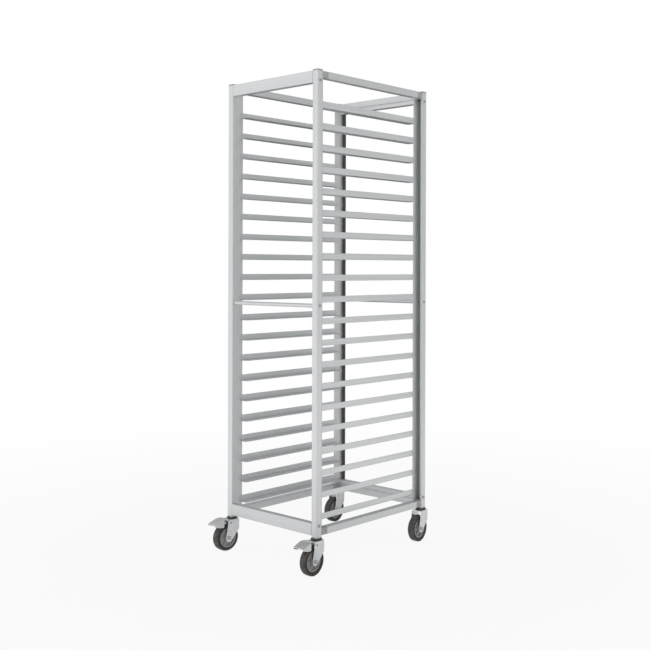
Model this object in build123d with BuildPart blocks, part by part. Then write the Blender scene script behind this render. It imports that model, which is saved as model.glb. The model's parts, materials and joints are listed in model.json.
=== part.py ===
"""Sheet pan rack on four swivel casters: a tall bolted aluminium frame with twenty pairs of runners.

Millimetres, +Z up, origin on the floor under the middle of the rack. The loading face looks
along -Y, and +X is the right-hand side of the person who loads it.
"""
from build123d import *
import math
import os

os.makedirs("parts", exist_ok=True)

# ---- Overall sizes ----
width = 460.0          # over the uprights, across the loading face
depth = 620.0          # over the uprights, front to back
upright_foot = 125.0   # underside of the uprights above the floor
upright_length = 1618.0
upright_head = upright_foot + upright_length

# ---- Upright: square profile with a slot, and a flange that carries the runners ----
tube = 25.0
wall = 2.0
corner_radius = 1.6
flange_width = 25.0    # beyond the square profile, towards the middle of the rack
flange_thickness = 2.5
slot_width = 14.0      # opens the profile beside the flange
post_x = (width - tube) / 2
post_y = (depth - tube) / 2
clear_x = width / 2 - tube     # inner faces of the uprights
clear_y = depth / 2 - tube     # faces of the uprights that look along the rack
flange_y = clear_y - flange_width / 2
slot_x = clear_x + flange_thickness + slot_width / 2

# ---- Front and rear rails, between the uprights ----
rail_height = 42.0
rail_lift = 6.0            # underside of the bottom rails above the foot of the uprights
rail_port_inset = 35.0     # screw port from the rail's outer edge
rail_groove_inset = 26.0   # groove in the rail's inner face, from the rail's outer edge
groove_width = 4.5
groove_depth = 2.5
port_boss_radius = 5.2
middle_rail_radius = 7.0
middle_rail_drop = 815.5   # axis of the middle rails below the head of the uprights
middle_rail_z = upright_head - middle_rail_drop
screw_radius = 3.0
screw_bore_radius = 3.02
screw_hole_radius = 3.2
screw_reach = 18.0         # into the rail
screw_head_radius = 5.25
screw_head_height = 3.2
socket_flats = 4.0

# ---- Side rails and their plastic connectors ----
connector_length = 29.0
connector_inset = 0.3      # the plastic block is a little slimmer than the profile
spigot = 20.8
spigot_length = 25.0
side_rail_half = clear_y - connector_length

# ---- Runners ----
tiers = 20
pitch = 76.0
top_runner_drop = 122.0    # underside of the top ledge below the head of the uprights
runner_height = 22.0
runner_ledge = 36.0
runner_thickness = 1.8
runner_half_length = 272.0
ledge_corner = 4.0
rivet_y = (runner_half_length + clear_y - flange_width) / 2
rivet_rise = 11.0          # rivet axis above the underside of the ledge
rivet_radius = 1.6
rivet_hole_radius = 1.65
rivet_head_radius = 3.2
rivet_head_height = 1.3
rivet_tail_radius = 2.5
rivet_tail_height = 0.6

# ---- Rear stop strips ----
stop_overhang = 14.0       # reaches in past the upright
stop_cover = 15.0          # lies on the upright's rear face
stop_thickness = 3.0
stop_end_gap = 10.0

# ---- Caps and caster plugs ----
cap_size = 26.0
cap_height = 4.0
cap_corner = 2.4
cap_round = 1.5
plug_gap = 0.1
plug_size = tube - 2 * wall - 2 * plug_gap
cap_plug_length = 15.0
cap_plug_wall = 2.5
foot_plate = 2.0
foot_plug_length = 30.0

# ---- Caster ----
wheel_radius = 50.0
tyre_width = 28.0
tread_round = 11.0
axle_z = wheel_radius
trail = 28.0
core_radius = 36.0
bond_gap = 0.02
rim_inner_radius = 31.0
rim_width = 25.0
web_width = 10.0
hub_radius = 11.0
hub_width = 36.6
rib_count = 6
rib_width = 21.0
rib_thickness = 3.5
bearing_gap = 0.05
axle_radius = 4.0
sleeve_radius = 6.0
fork_gap = 37.0            # between the legs
leg_thickness = 2.8
fork_width = fork_gap + 2 * leg_thickness
leg_end_radius = 14.5
crown_rear = 18.0          # behind the kingpin
crown_front = 30.0         # ahead of the kingpin, on the trailing side
crown_top = 117.8
crown_thickness = 3.0
crown_skirt = 36.0         # straight part of the legs under the crown
crown_round = 4.0
rear_bend = 2.4            # rounds the rear corners of the fork
kingpin_radius = 5.0
kingpin_length = 25.0      # above the foot plate's top
head_radius = 20.0
head_plate_bottom = 121.0
head_rim_bottom = 119.2
head_rim_width = 1.5
retainer_radius = 8.0
retainer_bottom = 111.0
ball_radius = 1.5
ball_count = 12
ball_circle = 13.0
nut_flats = 13.0
bolt_head_height = 5.0
nut_height = 6.5
bolt_end = 1.5             # beyond the nut

# ---- Brake pedal ----
pivot_forward = 20.0
pivot_z = 106.0
pedal_pin_radius = 3.0
pin_head_radius = 4.5
pin_head_height = 1.5
pedal_thickness = 2.6
pedal_barrel_radius = 6.0
pedal_neck_width = 34.0
pedal_width = 48.0
pedal_wing_start = 48.0    # the pedal widens from here, ahead of the fork
pedal_tip = 97.0
pedal_corner = 9.0
hump_z = 121.0             # middle of the sheet where the neck rises ahead of the crown
skirt_thickness = 2.4
shoe_width = 24.0
shoe_bottom = 102.42
shoe_back = 36.0
shoe_front = 46.0

sides = (-1, 1)
rail_levels = {
    "top": {"outer_edge": upright_head, "inward": -1},
    "bottom": {"outer_edge": upright_foot + rail_lift, "inward": 1},
}
side_rail_levels = {
    "top": upright_head - tube / 2,
    "bottom": upright_foot + rail_lift + tube / 2,
}
screw_levels = [
    level["outer_edge"] + level["inward"] * rail_port_inset for level in rail_levels.values()
] + [middle_rail_z]
lowest_runner_z = upright_head - top_runner_drop - (tiers - 1) * pitch
runner_levels = [lowest_runner_z + tier * pitch for tier in range(tiers)]

# Each caster stands at its own angle: the direction its wheel trails, turned from -Y towards +X.
casters = {
    "front_left": {"x": -post_x, "y": -post_y, "turn": -6.0, "braked": True},
    "front_right": {"x": post_x, "y": -post_y, "turn": 2.0, "braked": True},
    "rear_left": {"x": -post_x, "y": post_y, "turn": 2.0, "braked": False},
    "rear_right": {"x": post_x, "y": post_y, "turn": 5.0, "braked": False},
}


def caster_plane(name):
    """Ground plane of a caster: origin under the kingpin, X along the wheel axle, -Y trailing."""
    caster = casters[name]
    turn = math.radians(caster["turn"])
    return Plane(
        origin=(caster["x"], caster["y"], 0),
        x_dir=(math.cos(turn), math.sin(turn), 0),
        z_dir=(0, 0, 1),
    )


def post_centres():
    """Centres of the four uprights in plan."""
    return [(side * post_x, end * post_y) for side in sides for end in sides]


def write(part, label):
    part.label = label
    export_step(part, f"parts/{label}.step")


# ---- Uprights ----
def make_upright(side, end):
    """One upright; side is -1 left or 1 right, end is -1 front or 1 rear."""
    with BuildPart() as upright:
        with BuildSketch(Plane.XY.offset(upright_foot)):
            with Locations((side * post_x, end * post_y)):
                RectangleRounded(tube, tube, corner_radius)
                Rectangle(tube - 2 * wall, tube - 2 * wall, mode=Mode.SUBTRACT)
            with Locations((side * (clear_x + flange_thickness / 2), end * flange_y)):
                Rectangle(flange_thickness, flange_width)
            root_length = wall + corner_radius
            with Locations((side * (clear_x + wall / 2), end * (clear_y + root_length / 2))):
                Rectangle(wall, root_length)
            with Locations((side * slot_x, end * (clear_y + wall / 2))):
                Rectangle(slot_width, wall, mode=Mode.SUBTRACT)
        extrude(amount=upright_length)
        # The flange stops short of the side rails.
        with BuildSketch(Plane.YZ.offset(side * clear_x)):
            for level_z in side_rail_levels.values():
                with Locations((end * flange_y, level_z)):
                    Rectangle(flange_width, tube + 2)
            foot_cut = rail_lift + 1
            with Locations((end * flange_y, upright_foot + foot_cut / 2)):
                Rectangle(flange_width, foot_cut)
        extrude(amount=side * flange_thickness, mode=Mode.SUBTRACT)
        with BuildSketch(Plane.YZ.offset(side * clear_x)):
            for level_z in runner_levels:
                with Locations((end * rivet_y, level_z + rivet_rise)):
                    Circle(rivet_hole_radius)
        extrude(amount=side * flange_thickness, mode=Mode.SUBTRACT)
        with BuildSketch(Plane.YZ.offset(side * clear_x)):
            for level_z in screw_levels:
                with Locations((end * post_y, level_z)):
                    Circle(screw_hole_radius)
        extrude(amount=side * tube, mode=Mode.SUBTRACT)
    return upright.part


for side, side_name in zip(sides, ("left", "right")):
    for end, end_name in zip(sides, ("front", "rear")):
        write(make_upright(side, end), f"upright_{end_name}_{side_name}")


# ---- Front and rear rails ----
def make_rail(end, level):
    """A closed rail with a screw port and a groove along its inner face."""
    edge_z = level["outer_edge"]
    inward = level["inward"]
    middle_z = edge_z + inward * rail_height / 2
    port_z = edge_z + inward * rail_port_inset
    groove_z = edge_z + inward * rail_groove_inset
    with BuildPart() as rail:
        with BuildSketch(Plane.YZ.offset(-clear_x)):
            with Locations((end * post_y, middle_z)):
                RectangleRounded(tube, rail_height, corner_radius)
                Rectangle(tube - 2 * wall, rail_height - 2 * wall, mode=Mode.SUBTRACT)
            with Locations((end * post_y, port_z)):
                Rectangle(tube - 2 * wall, wall)
                Circle(port_boss_radius)
                Circle(screw_bore_radius, mode=Mode.SUBTRACT)
            channel_depth = groove_depth + wall
            with Locations((end * (clear_y + channel_depth / 2), groove_z)):
                Rectangle(channel_depth, groove_width + 2 * wall)
            with Locations((end * (clear_y + groove_depth / 2), groove_z)):
                Rectangle(groove_depth, groove_width, mode=Mode.SUBTRACT)
        extrude(amount=2 * clear_x)
    return rail.part


def make_middle_rail(end):
    """A round bar with a tapped hole in each end."""
    with BuildPart() as rail:
        with BuildSketch(Plane.YZ.offset(-clear_x)):
            with Locations((end * post_y, middle_rail_z)):
                Circle(middle_rail_radius)
        extrude(amount=2 * clear_x)
        for side in sides:
            with BuildSketch(Plane.YZ.offset(side * clear_x)):
                with Locations((end * post_y, middle_rail_z)):
                    Circle(screw_bore_radius)
            extrude(amount=-side * (screw_reach + wall), mode=Mode.SUBTRACT)
    return rail.part


for end, end_name in zip(sides, ("front", "rear")):
    for level_name, level in rail_levels.items():
        write(make_rail(end, level), f"{end_name}_{level_name}_rail")
    write(make_middle_rail(end), f"{end_name}_middle_rail")


# ---- Rail screws ----
with BuildPart() as rail_screws:
    for side in sides:
        shank_start = side * (clear_x - screw_reach)
        shank_length = side * (tube + screw_reach)
        spots = [(end * post_y, level_z) for end in sides for level_z in screw_levels]
        with BuildSketch(Plane.YZ.offset(shank_start)):
            with Locations(*spots):
                Circle(screw_radius)
        extrude(amount=shank_length)
        with BuildSketch(Plane.YZ.offset(side * width / 2)):
            with Locations(*spots):
                Circle(screw_head_radius)
        extrude(amount=side * screw_head_height)
        rims = rail_screws.edges().filter_by(GeomType.CIRCLE).group_by(Axis.X)
        fillet(rims[-1] if side > 0 else rims[0], screw_head_height * 0.7)
        with BuildSketch(Plane.YZ.offset(side * (width / 2 + screw_head_height))):
            with Locations(*spots):
                RegularPolygon(socket_flats / 2, 6, major_radius=False)
        extrude(amount=-side * screw_head_height * 0.6, mode=Mode.SUBTRACT)
write(rail_screws.part, "rail_screws")


# ---- Side rails ----
for level_name, level_z in side_rail_levels.items():
    with BuildPart() as side_rails:
        with BuildSketch(Plane.XZ.offset(-side_rail_half)):
            with Locations(*[(side * post_x, level_z) for side in sides]):
                RectangleRounded(tube, tube, corner_radius)
                Rectangle(tube - 2 * wall, tube - 2 * wall, mode=Mode.SUBTRACT)
        extrude(amount=2 * side_rail_half)
    write(side_rails.part, f"side_{level_name}_rails")


# ---- Corner connectors ----
with BuildPart() as corner_connectors:
    block = tube - 2 * connector_inset
    spots = [(side * post_x, z) for side in sides for z in side_rail_levels.values()]
    for end in sides:
        # Plane.XZ looks along -Y, so a positive offset or extrusion runs towards the front.
        with BuildSketch(Plane.XZ.offset(-end * clear_y)):
            with Locations(*spots):
                RectangleRounded(block, block, corner_radius)
        extrude(amount=end * connector_length)
        with BuildSketch(Plane.XZ.offset(-end * side_rail_half)):
            with Locations(*spots):
                Rectangle(spigot, spigot)
        extrude(amount=end * spigot_length)
        # A rib keys each block into the slot of its upright.
        with BuildSketch(Plane.XZ.offset(-end * clear_y)):
            for side in sides:
                with Locations(*[(side * slot_x, z) for z in side_rail_levels.values()]):
                    Rectangle(slot_width - 2 * plug_gap, spigot)
        extrude(amount=-end * (wall - plug_gap))
write(corner_connectors.part, "corner_connectors")


# ---- Top caps ----
with BuildPart() as top_caps:
    with BuildSketch(Plane.XY.offset(upright_head)):
        with Locations(*post_centres()):
            RectangleRounded(cap_size, cap_size, cap_corner)
    extrude(amount=cap_height)
    fillet(top_caps.faces().group_by(Axis.Z)[-1].edges(), cap_round)
    with BuildSketch(Plane.XY.offset(upright_head)):
        with Locations(*post_centres()):
            Rectangle(plug_size, plug_size)
            inner = plug_size - 2 * cap_plug_wall
            Rectangle(inner, inner, mode=Mode.SUBTRACT)
    extrude(amount=-cap_plug_length)
write(top_caps.part, "top_caps")


# ---- Runners ----
def make_runner_pair(ledge_z):
    """A left and a right L-shaped runner, ledges towards each other."""
    with BuildPart() as runners:
        with BuildSketch(Plane.XZ.offset(-runner_half_length)):
            with BuildLine():
                Polyline(
                    (clear_x, ledge_z),
                    (clear_x, ledge_z + runner_height),
                    (clear_x - runner_thickness, ledge_z + runner_height),
                    (clear_x - runner_thickness, ledge_z + runner_thickness),
                    (clear_x - runner_ledge, ledge_z + runner_thickness),
                    (clear_x - runner_ledge, ledge_z),
                    close=True,
                )
            section = make_face()
            bend = section.vertices().sort_by_distance((clear_x, ledge_z))
            fillet([bend[0]], runner_thickness * 1.4)
        extrude(amount=2 * runner_half_length)
        free_corners = runners.edges().filter_by(Axis.Z).group_by(Axis.X)[0]
        fillet(free_corners, ledge_corner)
        with BuildSketch(Plane.YZ.offset(clear_x)):
            with Locations(*[(end * rivet_y, ledge_z + rivet_rise) for end in sides]):
                Circle(rivet_hole_radius)
        extrude(amount=-runner_thickness, mode=Mode.SUBTRACT)
        mirror(about=Plane.YZ)
    return runners.part


for tier, ledge_z in enumerate(runner_levels, start=1):
    write(make_runner_pair(ledge_z), f"runner_pair_{tier:02d}")


# ---- Runner rivets ----
with BuildPart() as runner_rivets:
    spots = [(end * rivet_y, z + rivet_rise) for end in sides for z in runner_levels]
    leg_face = clear_x - runner_thickness
    flange_face = clear_x + flange_thickness
    for side in sides:
        with BuildSketch(Plane.YZ.offset(side * leg_face)):
            with Locations(*spots):
                Circle(rivet_radius)
        extrude(amount=side * (flange_face - leg_face))
        with BuildSketch(Plane.YZ.offset(side * flange_face)):
            with Locations(*spots):
                Circle(rivet_head_radius)
        extrude(amount=side * rivet_head_height)
        rims = runner_rivets.edges().filter_by(GeomType.CIRCLE).group_by(Axis.X)
        fillet(rims[-1] if side > 0 else rims[0], rivet_head_height * 0.8)
        with BuildSketch(Plane.YZ.offset(side * leg_face)):
            with Locations(*spots):
                Circle(rivet_tail_radius)
        extrude(amount=-side * rivet_tail_height)
write(runner_rivets.part, "runner_rivets")


# ---- Rear stop strips ----
with BuildPart() as rear_stops:
    strip_width = stop_overhang + stop_cover
    strip_x = clear_x + (stop_cover - stop_overhang) / 2
    strip_length = upright_length - 2 * stop_end_gap
    with BuildSketch(Plane.XZ.offset(-depth / 2)):
        with Locations(*[(side * strip_x, upright_foot + upright_length / 2) for side in sides]):
            RectangleRounded(strip_width, strip_length, corner_radius)
    extrude(amount=-stop_thickness)
write(rear_stops.part, "rear_stops")


# ---- Caster plugs ----
with BuildPart() as caster_plugs:
    with BuildSketch(Plane.XY.offset(upright_foot)):
        with Locations(*post_centres()):
            RectangleRounded(tube, tube, corner_radius)
    extrude(amount=-foot_plate)
    with BuildSketch(Plane.XY.offset(upright_foot)):
        with Locations(*post_centres()):
            Rectangle(plug_size, plug_size)
    extrude(amount=foot_plug_length)
    with BuildSketch(Plane.XY.offset(upright_foot - foot_plate)):
        with Locations(*post_centres()):
            Circle(kingpin_radius + bond_gap)
    extrude(amount=foot_plate + kingpin_length + 1, mode=Mode.SUBTRACT)
write(caster_plugs.part, "caster_plugs")


# ---- Swivel heads and balls ----
head_top = upright_foot - foot_plate
with BuildPart() as swivel_heads:
    with BuildSketch(Plane.XY.offset(head_plate_bottom)):
        with Locations(*post_centres()):
            Circle(head_radius)
    extrude(amount=head_top - head_plate_bottom)
    fillet(swivel_heads.edges().group_by(Axis.Z)[-1], 1.5)
    with BuildSketch(Plane.XY.offset(head_rim_bottom)):
        with Locations(*post_centres()):
            Circle(head_radius)
            Circle(head_radius - head_rim_width, mode=Mode.SUBTRACT)
    extrude(amount=head_plate_bottom - head_rim_bottom)
    with BuildSketch(Plane.XY.offset(retainer_bottom)):
        with Locations(*post_centres()):
            Circle(kingpin_radius)
    extrude(amount=upright_foot + kingpin_length - retainer_bottom)
    with BuildSketch(Plane.XY.offset(retainer_bottom)):
        with Locations(*post_centres()):
            Circle(retainer_radius)
    retainer_top = crown_top - crown_thickness - 2 * bearing_gap
    extrude(amount=retainer_top - retainer_bottom)
write(swivel_heads.part, "swivel_heads")

with BuildPart() as swivel_balls:
    ball_z = (crown_top + head_plate_bottom) / 2
    for x, y in post_centres():
        with Locations((x, y, ball_z)):
            with PolarLocations(ball_circle, ball_count):
                Sphere(ball_radius)
write(swivel_balls.part, "swivel_balls")


# ---- Forks ----
def make_fork(base, braked):
    """A stamped fork: a crown plate with two legs that run down to the axle."""
    side_view = Plane(base * Plane.YZ)
    front_view = Plane(base * Plane.XZ)
    crown_length = crown_front + crown_rear
    with BuildPart() as fork:
        with BuildSketch(side_view.offset(-fork_width / 2)):
            with Locations(((crown_rear - crown_front) / 2, crown_top - crown_skirt / 2)):
                Rectangle(crown_length, crown_skirt)
            with Locations((-trail, axle_z)):
                Circle(leg_end_radius)
            make_hull()
        extrude(amount=fork_width)
        top_face = fork.faces().sort_by(Axis.Z)[-1]
        bends = top_face.edges().filter_by(Axis(base.origin, base.y_dir))
        fillet(bends, crown_round)
        rear_face = fork.faces().sort_by(Axis(base.origin, base.y_dir))[-1]
        fillet(rear_face.edges().filter_by(Axis.Z), rear_bend)
        with BuildSketch(front_view):
            pocket = crown_top - crown_thickness
            with Locations((0, pocket / 2)):
                Rectangle(fork_gap, pocket)
        extrude(amount=2 * crown_length, both=True, mode=Mode.SUBTRACT)
        with BuildSketch(base.offset(crown_top)):
            Circle(kingpin_radius + bearing_gap)
        extrude(amount=-crown_thickness, mode=Mode.SUBTRACT)
        with BuildSketch(side_view):
            with Locations((-trail, axle_z)):
                Circle(axle_radius + bond_gap)
            if braked:
                with Locations((-pivot_forward, pivot_z)):
                    Circle(pedal_pin_radius + bond_gap)
        extrude(amount=fork_width, both=True, mode=Mode.SUBTRACT)
    return fork.part


# ---- Axle sets ----
def make_axle_set(base, braked):
    """Axle bolt, spacer sleeve and nut, and the pedal's pin on a braked caster."""
    side_view = Plane(base * Plane.YZ)
    half_fork = fork_width / 2
    with BuildPart() as axle_set:
        with BuildSketch(side_view.offset(-(half_fork + nut_height + bolt_end))):
            with Locations((-trail, axle_z)):
                Circle(axle_radius)
        extrude(amount=2 * half_fork + nut_height + bolt_end)
        with BuildSketch(side_view.offset(half_fork)):
            with Locations((-trail, axle_z)):
                RegularPolygon(nut_flats / 2, 6, major_radius=False)
        extrude(amount=bolt_head_height)
        with BuildSketch(side_view.offset(-half_fork)):
            with Locations((-trail, axle_z)):
                RegularPolygon(nut_flats / 2, 6, major_radius=False)
                Circle(axle_radius + bond_gap, mode=Mode.SUBTRACT)
        extrude(amount=-nut_height)
        with BuildSketch(side_view):
            with Locations((-trail, axle_z)):
                Circle(sleeve_radius)
                Circle(axle_radius + bond_gap, mode=Mode.SUBTRACT)
        extrude(amount=fork_gap / 2 - bond_gap, both=True)
        if braked:
            with BuildSketch(side_view):
                with Locations((-pivot_forward, pivot_z)):
                    Circle(pedal_pin_radius)
            extrude(amount=half_fork + pin_head_height, both=True)
            for face in (-1, 1):
                with BuildSketch(side_view.offset(face * half_fork)):
                    with Locations((-pivot_forward, pivot_z)):
                        Circle(pin_head_radius)
                extrude(amount=face * pin_head_height)
    return axle_set.part


# ---- Wheels ----
def make_wheel_core(base):
    """A ribbed wheel centre that turns on the spacer sleeve."""
    axle_plane = base.offset(axle_z)
    axle_point = axle_plane.from_local_coords((0, -trail, 0))
    hub_bore = sleeve_radius + bearing_gap
    rings = [
        (hub_bore, hub_radius, hub_width),
        (hub_radius, rim_inner_radius, web_width),
        (rim_inner_radius, core_radius, rim_width),
    ]
    with BuildPart() as core:
        with BuildSketch(axle_plane):
            for inner_radius, outer_radius, ring_width in rings:
                with Locations((0, -trail + (inner_radius + outer_radius) / 2)):
                    Rectangle(ring_width, outer_radius - inner_radius)
        revolve(axis=Axis(axle_point, base.x_dir))
        with BuildSketch(Plane(base * Plane.YZ)):
            with Locations((-trail, axle_z)):
                with PolarLocations((hub_radius + rim_inner_radius) / 2, rib_count):
                    Rectangle(rim_inner_radius - hub_radius + 1, rib_thickness)
        extrude(amount=rib_width / 2, both=True)
    return core.part


def make_tyre(base):
    """A rubber tyre with round shoulders, bonded to the wheel centre."""
    axle_plane = base.offset(axle_z)
    axle_point = axle_plane.from_local_coords((0, -trail, 0))
    inner_radius = core_radius + bond_gap
    with BuildPart() as tyre:
        with BuildSketch(axle_plane) as section:
            with Locations((0, -trail + (inner_radius + wheel_radius) / 2)):
                Rectangle(tyre_width, wheel_radius - inner_radius)
            shoulders = section.vertices().group_by(Axis(base.origin, base.y_dir))[-1]
            fillet(shoulders, tread_round)
        revolve(axis=Axis(axle_point, base.x_dir))
    return tyre.part


# ---- Brake pedal ----
def make_brake_pedal(base):
    """A stamped pedal on a barrel, arched over the wheel, with a shoe above the tread."""
    side_view = Plane(base * Plane.YZ)
    barrel_spot = (-pivot_forward, pivot_z)
    neck_z = pivot_z + pedal_barrel_radius - 1.0 - pedal_thickness / 2
    rise = [(-pivot_forward, neck_z), (-crown_front - 1.0, neck_z), (-crown_front - 6.0, hump_z - 1.0)]
    arch = [
        rise[-1],
        (-46.0, hump_z),
        (-58.0, 118.0),
        (-72.0, 113.0),
        (-86.0, 107.5),
        (-pedal_tip, 107.5),
    ]
    arch_tangents = [(-1.0, 0.25), (-1.0, 0.4)]
    with BuildPart() as pedal:
        with BuildSketch(side_view):
            with BuildLine():
                Spline(*arch, tangents=arch_tangents)
                Polyline(arch[-1], (-92.0, 100.0), (-75.0, 95.0), (-56.0, 93.0), arch[0])
            make_face()
        extrude(amount=pedal_width / 2, both=True)
        with BuildSketch(side_view):
            with Locations((-pedal_wing_start / 2, pivot_z)):
                Rectangle(pedal_wing_start, pedal_width)
        extrude(amount=pedal_width, both=True, mode=Mode.SUBTRACT)
        with BuildSketch(side_view):
            with Locations((-pedal_wing_start, pivot_z)):
                Rectangle(2 * pedal_tip, pedal_width)
        extrude(amount=pedal_width / 2 - skirt_thickness, both=True, mode=Mode.SUBTRACT)
        with BuildSketch(side_view):
            with BuildLine():
                Polyline(*rise)
                Spline(*arch, tangents=arch_tangents)
            trace(line_width=pedal_thickness)
        extrude(amount=pedal_width / 2, both=True)
        with BuildSketch(base.offset(shoe_bottom - 10)):
            wing_length = pedal_tip - pedal_wing_start
            with Locations((0, -pedal_wing_start - wing_length / 2)):
                RectangleRounded(pedal_width, wing_length, pedal_corner)
            neck_length = pedal_wing_start - pivot_forward + pedal_barrel_radius + pedal_corner
            with Locations((0, -pivot_forward + pedal_barrel_radius - neck_length / 2)):
                Rectangle(pedal_neck_width, neck_length)
        extrude(amount=pedal_tip, mode=Mode.INTERSECT)
        with BuildSketch(side_view):
            with Locations(barrel_spot):
                Circle(pedal_barrel_radius)
        extrude(amount=pedal_neck_width / 2, both=True)
        with BuildSketch(side_view):
            with Locations((-(shoe_back + shoe_front) / 2, (shoe_bottom + neck_z) / 2)):
                Rectangle(shoe_front - shoe_back, neck_z - shoe_bottom)
        extrude(amount=shoe_width / 2, both=True)
        with BuildSketch(side_view):
            with Locations(barrel_spot):
                Circle(pedal_pin_radius + bearing_gap)
        extrude(amount=pedal_width, both=True, mode=Mode.SUBTRACT)
    return pedal.part


for caster_name, caster in casters.items():
    base = caster_plane(caster_name)
    write(make_fork(base, caster["braked"]), f"fork_{caster_name}")
    write(make_axle_set(base, caster["braked"]), f"axle_set_{caster_name}")
    write(make_wheel_core(base), f"wheel_core_{caster_name}")
    write(make_tyre(base), f"tyre_{caster_name}")
    if caster["braked"]:
        write(make_brake_pedal(base), f"brake_pedal_{caster_name}")
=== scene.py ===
"""Finishes, floor, light and camera of the sheet pan rack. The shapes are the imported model's own."""
import json
import math

import bpy
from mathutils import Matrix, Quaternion, Vector

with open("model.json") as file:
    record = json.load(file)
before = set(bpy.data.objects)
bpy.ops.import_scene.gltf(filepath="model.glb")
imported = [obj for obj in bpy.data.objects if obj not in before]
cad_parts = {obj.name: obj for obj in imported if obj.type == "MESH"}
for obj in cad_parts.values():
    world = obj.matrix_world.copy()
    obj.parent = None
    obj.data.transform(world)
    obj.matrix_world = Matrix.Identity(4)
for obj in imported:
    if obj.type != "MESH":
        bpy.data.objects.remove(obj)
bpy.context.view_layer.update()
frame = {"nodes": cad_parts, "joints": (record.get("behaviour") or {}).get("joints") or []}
nodes = frame["nodes"]
joints = {joint["name"]: joint for joint in frame["joints"]}


# ---- Short calls that build node trees ----

class Nodes:
    """Adds and links the nodes of one tree. A value may be a number, a tuple or another node's socket."""

    def __init__(self, tree):
        self.tree = tree

    def feed(self, socket, value):
        if isinstance(value, bpy.types.NodeSocket):
            self.tree.links.new(value, socket)
        else:
            socket.default_value = value

    def node(self, kind, inputs, **settings):
        node = self.tree.nodes.new(kind)
        for key, value in settings.items():
            setattr(node, key, value)
        for key, value in inputs.items():
            self.feed(node.inputs[key], value)
        return node

    def maths(self, operation, *values):
        inputs = dict(enumerate(values))
        return self.node("ShaderNodeMath", inputs, operation=operation).outputs[0]

    def share(self, value, amount):
        return self.maths("MULTIPLY", value, amount)

    def add_share(self, value, amount, total):
        return self.maths("MULTIPLY_ADD", value, amount, total)

    def vectors(self, operation, *values, output="Vector"):
        inputs = dict(enumerate(values))
        return self.node("ShaderNodeVectorMath", inputs, operation=operation).outputs[output]

    def dot(self, first, second):
        return self.vectors("DOT_PRODUCT", first, second, output="Value")

    def length(self, vector):
        return self.vectors("LENGTH", vector, output="Value")

    def span(self, value, low, high, to_low=0.0, to_high=1.0):
        inputs = {"Value": value, "From Min": low, "From Max": high, "To Min": to_low, "To Max": to_high}
        return self.node("ShaderNodeMapRange", inputs).outputs["Result"]

    def seen_by_camera(self):
        """1 for what the camera sees directly, 0 for what lights the rack or is mirrored in it."""
        return self.node("ShaderNodeLightPath", {}).outputs["Is Camera Ray"]


class Graph(Nodes):
    """One material with a single Principled shader, and the patterns its finish is made of."""

    def __init__(self, name, **values):
        self.material = bpy.data.materials.new(name)
        self.material.use_nodes = True
        super().__init__(self.material.node_tree)
        self.shader = self.tree.nodes["Principled BSDF"]
        for socket, value in values.items():
            self.feed(self.shader.inputs[socket], value)
        self.place = self.node("ShaderNodeTexCoord", {}).outputs["Object"]

    def noise(self, place, scale=1.0, detail=2.0, roughness=0.5):
        inputs = {"Vector": place, "Scale": scale, "Detail": detail, "Roughness": roughness}
        return self.node("ShaderNodeTexNoise", inputs).outputs["Fac"]

    def drawn_noise(self, axis, across, lengthwise, **shape):
        """Noise with its own scale along one axis, which draws it out into lines."""
        scales = tuple(lengthwise if name == axis else across for name in "xyz")
        mapping = self.node("ShaderNodeMapping", {"Vector": self.place, "Scale": scales})
        return self.noise(mapping.outputs["Vector"], **shape)

    def spread(self, noise, to_low=0.0, to_high=1.0):
        """Stretches the part of the range that a noise really fills."""
        return self.span(noise, 0.3, 0.7, to_low, to_high)

    def mix(self, factor, first, second):
        node = self.node("ShaderNodeMix", {}, data_type="RGBA")
        self.feed(node.inputs["Factor"], factor)
        self.feed(node.inputs[6], first)
        self.feed(node.inputs[7], second)
        return node.outputs[2]

    def soft_normal(self, radius):
        return self.node("ShaderNodeBevel", {"Radius": radius}, samples=4).outputs["Normal"]

    def edges(self, normal, low=0.004, high=0.12):
        """How near the point is to an edge: 0 on open faces, 1 on the edge."""
        face = self.node("ShaderNodeNewGeometry", {}).outputs["Normal"]
        return self.span(self.maths("SUBTRACT", 1.0, self.dot(face, normal)), low, high)

    def relief(self, height, strength, distance, normal):
        inputs = {"Height": height, "Strength": strength, "Distance": distance, "Normal": normal}
        return self.node("ShaderNodeBump", inputs).outputs["Normal"]

    def finish(self, colour, roughness, normal):
        self.feed(self.shader.inputs["Base Color"], colour)
        self.feed(self.shader.inputs["Roughness"], roughness)
        self.feed(self.shader.inputs["Normal"], normal)
        return self.material


def shade(level, tint=(0.0, 0.0, 0.0)):
    return tuple(level + change for change in tint) + (1.0,)


# ---- Finishes ----

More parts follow.
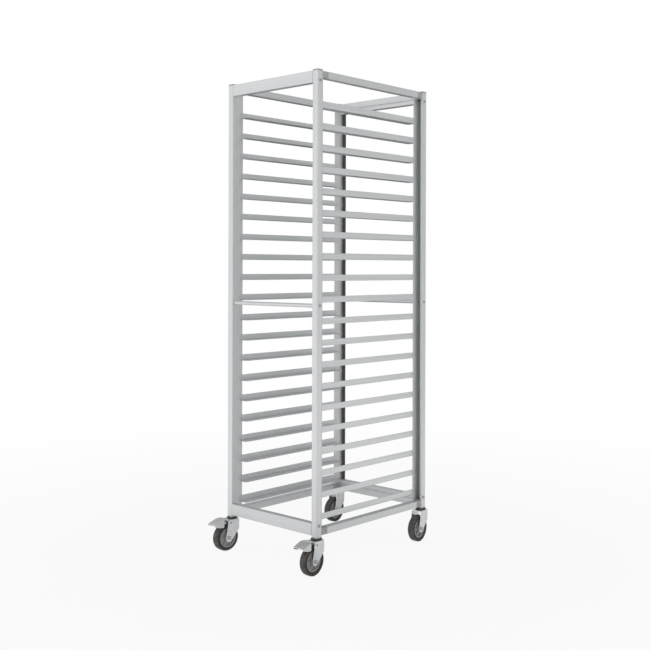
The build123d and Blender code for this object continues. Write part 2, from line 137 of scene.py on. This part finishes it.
def drawn_aluminium(name, axis, light, dark, rough):
    """Satin anodised aluminium: die or rolling lines along one axis, painted shade that draws every edge
    as a grey outline, and bright nicks of worn bare metal.
    """
    painted_edge_shade, scratch_grey, bare_metal = shade(0.36), shade(0.5), shade(0.9)
    g = Graph(name, Metallic=0.85, IOR=1.45)
    soft = g.soft_normal(0.0008)
    worn = g.edges(soft)
    # Mask of the painted edge shade, about 3 mm wide along every edge.
    edge_shade_mask = g.edges(g.soft_normal(0.0028), low=0.01, high=0.1)
    lines = g.drawn_noise(axis, across=1900.0, lengthwise=6.0, detail=3.0, roughness=0.6)
    streaks = g.drawn_noise(axis, across=170.0, lengthwise=1.6, detail=3.0, roughness=0.55)
    scratches = g.drawn_noise(axis, across=60.0, lengthwise=260.0, detail=5.0, roughness=0.7)
    scratches = g.span(scratches, low=0.62, high=0.72)
    clouds = g.noise(g.place, scale=7.0, detail=4.0, roughness=0.6)
    tone = g.mix(g.spread(streaks), dark, light)
    tone = g.mix(g.span(clouds, low=0.35, high=0.7, to_high=0.35), tone, light)
    tone = g.mix(g.share(scratches, 0.18), tone, scratch_grey)
    # Painted shade: every edge is drawn in darker grey, as an outline.
    tone = g.mix(g.share(edge_shade_mask, 0.55), tone, painted_edge_shade)
    tone = g.mix(g.share(g.share(worn, scratches), 0.6), tone, bare_metal)
    gloss = g.spread(streaks, rough - 0.05, rough + 0.06)
    gloss = g.maths("ADD", gloss, g.spread(clouds, -0.03, 0.05))
    gloss = g.maths("SUBTRACT", gloss, g.share(worn, 0.1))
    return g.finish(tone, gloss, g.relief(lines, strength=0.25, distance=0.0002, normal=soft))


def zinc_plate(name, light, dark, rough):
    """Bright zinc plating: a soft spangle, a faint yellow passivation cast, duller in patches."""
    passivated, bare_metal = shade(0.5, (0.03, 0.02, -0.06)), shade(0.88)
    g = Graph(name, Metallic=1.0)
    soft = g.soft_normal(0.0009)
    worn = g.edges(soft)
    clouds = g.noise(g.place, scale=34.0, detail=4.0, roughness=0.6)
    grain = g.noise(g.place, scale=900.0)
    spangle = g.node("ShaderNodeTexVoronoi", {"Vector": g.place, "Scale": 260.0}).outputs["Color"]
    spangle = g.node("ShaderNodeSeparateColor", {"Color": spangle}).outputs["Red"]
    tone = g.mix(g.spread(clouds), dark, light)
    tone = g.mix(g.share(spangle, 0.12), tone, passivated)
    tone = g.mix(g.share(worn, 0.5), tone, bare_metal)
    gloss = g.spread(clouds, rough - 0.06, rough + 0.1)
    gloss = g.maths("ADD", gloss, g.share(spangle, 0.06))
    return g.finish(tone, gloss, g.relief(grain, strength=0.15, distance=0.0003, normal=soft))


def moulded_plastic(name, light, dark, worn_tone):
    """Moulded plastic: a fine spark-eroded grain, slightly polished and paler along its edges."""
    rough = 0.5
    g = Graph(name, Metallic=0.0, IOR=1.47)
    soft = g.soft_normal(0.0009)
    worn = g.edges(soft)
    grain = g.noise(g.place, scale=2600.0)
    clouds = g.noise(g.place, scale=40.0, detail=4.0, roughness=0.6)
    tone = g.mix(g.span(clouds, low=0.35, high=0.65), dark, light)
    tone = g.mix(g.share(worn, 0.6), tone, shade(worn_tone))
    gloss = g.spread(grain, rough - 0.06, rough + 0.08)
    gloss = g.maths("SUBTRACT", gloss, g.share(worn, 0.12))
    return g.finish(tone, gloss, g.relief(grain, strength=0.35, distance=0.0004, normal=soft))


def painted_shade_steel(name):
    """Steel coloured near black as painted shade, standing for the dark shade line under each upright
    foot, with bare metal showing where edges have rubbed.
    """
    light, dark, bare_metal = shade(0.055), shade(0.03), shade(0.45)
    g = Graph(name, IOR=1.6)
    soft = g.soft_normal(0.0008)
    patches = g.noise(g.place, scale=120.0, detail=5.0, roughness=0.65)
    rubbed = g.share(g.edges(soft), g.span(patches, low=0.35, high=0.6))
    tone = g.mix(g.spread(patches), dark, light)
    tone = g.mix(rubbed, tone, bare_metal)
    g.feed(g.shader.inputs["Metallic"], g.share(rubbed, 0.9))
    gloss = g.spread(patches, 0.32, 0.5)
    return g.finish(tone, gloss, g.relief(patches, strength=0.1, distance=0.0004, normal=soft))


def distance_from_axle(g, caster):
    joint = joints[f"wheel_roll_{caster}"]
    axis = tuple(joint["axis"])
    offset = g.vectors("SUBTRACT", g.place, tuple(joint["pos_m"]))
    along_axle = g.vectors("MULTIPLY", axis, g.dot(offset, axis))
    return g.length(g.vectors("SUBTRACT", offset, along_axle))


def tyre_rubber(name, caster):
    """Grey-brown rubber: dusty scuffed tread, turned rings on the side walls."""
    light, dark = shade(0.04, (0.004, 0.0, -0.003)), shade(0.022, (0.002, 0.0, -0.002))
    scuffed = shade(0.155, (0.013, 0.0, -0.013))
    tread_start, tread_full = 0.0445, 0.0495
    ring_frequency = 5200.0     # radians per metre of radius
    g = Graph(name, IOR=1.5)
    radius = distance_from_axle(g, caster)
    soft = g.soft_normal(0.0006)
    dust = g.noise(g.place, scale=95.0, detail=5.0, roughness=0.65)
    grain = g.noise(g.place, scale=1500.0)
    tread = g.span(radius, tread_start, tread_full)
    rings = g.maths("SINE", g.share(radius, ring_frequency))
    tone = g.mix(g.spread(dust), dark, light)
    scuffs = g.share(tread, g.span(dust, low=0.4, high=0.62, to_low=0.25))
    tone = g.mix(g.share(scuffs, 0.8), tone, scuffed)
    gloss = g.spread(dust, 0.5, 0.66)
    gloss = g.maths("ADD", gloss, g.share(tread, 0.15))
    height = g.maths("ADD", g.share(grain, 0.7), g.share(rings, 0.12))
    return g.finish(tone, gloss, g.relief(height, strength=0.35, distance=0.0005, normal=soft))


def core_nylon(name, caster):
    """Grey nylon wheel core, with painted shade darkening it in patches towards the rim, where it meets
    the tyre.
    """
    light, dark = shade(0.46, (0.01, 0.0, -0.01)), shade(0.34, (0.01, 0.0, -0.01))
    painted_rim_shade, worn_tone = shade(0.22), shade(0.55)
    hub_edge, rim_edge = 0.02, 0.036
    g = Graph(name, IOR=1.5)
    soft = g.soft_normal(0.0008)
    worn = g.edges(soft)
    dust = g.noise(g.place, scale=110.0, detail=5.0, roughness=0.65)
    grain = g.noise(g.place, scale=1900.0)
    tone = g.mix(g.spread(dust), dark, light)
    # Painted shade: patches of darker grey towards the rim, in the crease where the core meets the tyre.
    towards_rim = g.span(distance_from_axle(g, caster), hub_edge, rim_edge)
    rim_shade_mask = g.share(towards_rim, g.span(dust, low=0.4, high=0.7))
    tone = g.mix(g.share(rim_shade_mask, 0.5), tone, painted_rim_shade)
    tone = g.mix(g.share(worn, 0.4), tone, worn_tone)
    gloss = g.spread(dust, 0.42, 0.56)
    return g.finish(tone, gloss, g.relief(grain, strength=0.25, distance=0.0004, normal=soft))


# ---- Which finish each node gets ----

cool = (-0.014, 0.004, 0.010)
cool_fork = (-0.015, 0.0, 0.015)
cool_pedal = (-0.01, 0.0, 0.02)
cross_rail = drawn_aluminium("cross_rail_satin", "x", shade(0.80, cool), shade(0.70, cool), 0.46)
plain_grey = moulded_plastic("cap_grey_plastic", shade(0.36), shade(0.29), worn_tone=0.45)

# A node takes the finish of the first entry that its name starts with.
finish_of = {
    "upright": drawn_aluminium("upright_satin", "z", shade(0.80, cool), shade(0.70, cool), 0.46),
    "front": cross_rail,
    "rear_top_rail": cross_rail,
    "rear_middle_rail": cross_rail,
    "rear_bottom_rail": cross_rail,
    "side": drawn_aluminium("side_rail_satin", "y", shade(0.76, cool), shade(0.67, cool), 0.46),
    "runner_pair": drawn_aluminium("runner_satin", "y", shade(0.80, cool), shade(0.70, cool), 0.46),
    "runner_rivets": drawn_aluminium("rivet_satin", "y", shade(0.74, cool), shade(0.64, cool), 0.4),
    "corner_connectors": moulded_plastic("connector_plastic", shade(0.46), shade(0.36), worn_tone=0.5),
    "top_caps": plain_grey,
    "caster_plugs": plain_grey,
    "rear_stops": moulded_plastic("stop_strip_plastic", shade(0.11), shade(0.08), worn_tone=0.2),
    "rail_screws": zinc_plate("screw_zinc", shade(0.55), shade(0.42), 0.4),
    # Painted shade: the swivel heads are near black to give the dark shade line under each upright foot.
    "swivel_heads": painted_shade_steel("swivel_head_painted_shade"),
    "swivel_balls": zinc_plate("bearing_ball_steel", shade(0.85), shade(0.78), 0.12),
    "fork": zinc_plate("fork_zinc", shade(0.92, cool_fork), shade(0.78, cool_fork), 0.28),
    "axle_set": zinc_plate("fastener_zinc", shade(0.6), shade(0.45), 0.34),
    "brake_pedal": zinc_plate("pedal_zinc", shade(0.86, cool_pedal), shade(0.72, cool_pedal), 0.24),
}

for node_name, node in nodes.items():
    if node_name.startswith("tyre_"):
        caster = node_name.removeprefix("tyre_")
        finish = tyre_rubber(f"rubber_{caster}", caster)
    elif node_name.startswith("wheel_core_"):
        caster = node_name.removeprefix("wheel_core_")
        finish = core_nylon(f"nylon_{caster}", caster)
    else:
        finish = next(look for start, look in finish_of.items() if node_name.startswith(start))
    for material_slot in node.material_slots:
        material_slot.material = finish


# ---- Floor, light and camera ----

# Level directions around the rack.
off_front = (-0.678, -0.735)    # what the rack's front mirrors towards the camera
off_side = (0.678, 0.735)       # what its right side mirrors towards the camera
camera_side = (0.735, -0.678)
far_side = (-0.678, 0.735)

backdrop_level = 1.0
even_light = 0.46
field_height = 0.1        # how far the middle of a light field stands above the horizon
field_sharpness = 2.0

# Soft light from all round, on top of the even light: direction and strength of each broad field.
light_fields = [(off_front, 0.50), (camera_side, 0.24), (off_side, 0.16)]

# The floor as the rack sees it: direction it grows brighter or darker in, and by how much.
floor_even = 0.52
floor_fields = [(off_front, 0.60), (off_side, 0.54), (far_side, -0.8)]
floor_field_reach = 1.5
floor_darkest = 0.05

floor_radius = 30.0
floor_sides = 96
floor_glow = 0.9          # how far the floor is already lost in the backdrop beside the rack
fade_start = 0.9
fade_end = 3.2


def floor_as_camera_sees_it(g):
    """Matt paper that fades into the backdrop with distance."""
    haze = g.spread(g.noise(g.place, scale=3.0, detail=3.0))
    g.feed(g.shader.inputs["Base Color"], g.mix(haze, shade(0.86), shade(0.88)))
    fade = g.span(g.length(g.place), fade_start, fade_end, floor_glow, 1.0)
    glow = g.node("ShaderNodeEmission", {"Color": shade(1.0), "Strength": backdrop_level}).outputs[0]
    return g.node("ShaderNodeMixShader", {0: fade, 1: g.shader.outputs[0], 2: glow}).outputs[0]


def floor_as_rack_sees_it(g):
    """The light that comes up from the floor."""
    level = floor_even
    for (x, y), strength in floor_fields:
        side = g.span(g.dot(g.place, (x, y, 0.0)), 0.0, floor_field_reach)
        level = g.add_share(side, strength, level)
    level = g.maths("MAXIMUM", level, floor_darkest)
    return g.node("ShaderNodeEmission", {"Color": shade(1.0), "Strength": level}).outputs[0]


def pale_floor():
    """A round pale floor."""
    corners = [math.tau * i / floor_sides for i in range(floor_sides)]
    rim = [(floor_radius * math.cos(a), floor_radius * math.sin(a), 0.0) for a in corners]
    mesh = bpy.data.meshes.new("studio_floor")
    mesh.from_pydata(rim, [], [tuple(range(floor_sides))])
    floor = bpy.data.objects.new("studio_floor", mesh)
    bpy.context.scene.collection.objects.link(floor)
    g = Graph("floor_paper", Roughness=0.9)
    parts = {0: g.seen_by_camera(), 1: floor_as_rack_sees_it(g), 2: floor_as_camera_sees_it(g)}
    blend = g.node("ShaderNodeMixShader", parts).outputs[0]
    g.feed(g.tree.nodes["Material Output"].inputs["Surface"], blend)
    mesh.materials.append(g.material)


def studio_world():
    """A plain backdrop for the camera, and soft light from all round for the rack."""
    world = bpy.data.worlds.new("studio_world")
    world.use_nodes = True
    bpy.context.scene.world = world
    g = Nodes(world.node_tree)
    view = g.node("ShaderNodeTexCoord", {}).outputs["Generated"]
    total = even_light
    for (x, y), strength in light_fields:
        aim = Vector((x, y, field_height)).normalized()
        facing = g.maths("MAXIMUM", g.dot(view, aim), 0.0)
        total = g.add_share(g.maths("POWER", facing, field_sharpness), strength, total)
    background = g.tree.nodes["Background"]
    g.feed(background.inputs["Color"], shade(1.0))
    g.feed(background.inputs["Strength"], g.span(g.seen_by_camera(), 0.0, 1.0, total, backdrop_level))


def level_camera():
    """The lens stands level with the middle of the rack, and the picture is shifted on it."""
    place = Vector((2.5507, -2.7864, 1.0588))
    yaw, pitch, roll = (math.radians(angle) for angle in (42.699, -0.0881, 0.1615))
    data = bpy.data.cameras.new("camera")
    data.sensor_width = 36.0
    data.lens = 54.53
    data.shift_y = -0.0854
    data.clip_start = 0.05
    data.clip_end = 100.0
    camera = bpy.data.objects.new("camera", data)
    bpy.context.scene.collection.objects.link(camera)
    level = math.cos(pitch)
    look = Vector((-math.sin(yaw) * level, math.cos(yaw) * level, math.sin(pitch)))
    camera.location = place
    camera.rotation_mode = "QUATERNION"
    camera.rotation_quaternion = look.to_track_quat("-Z", "Y") @ Quaternion((0.0, 0.0, 1.0), roll)
    return camera


pale_floor()
studio_world()
bpy.context.scene.camera = level_camera()
bpy.context.scene.view_settings.view_transform = "Standard"
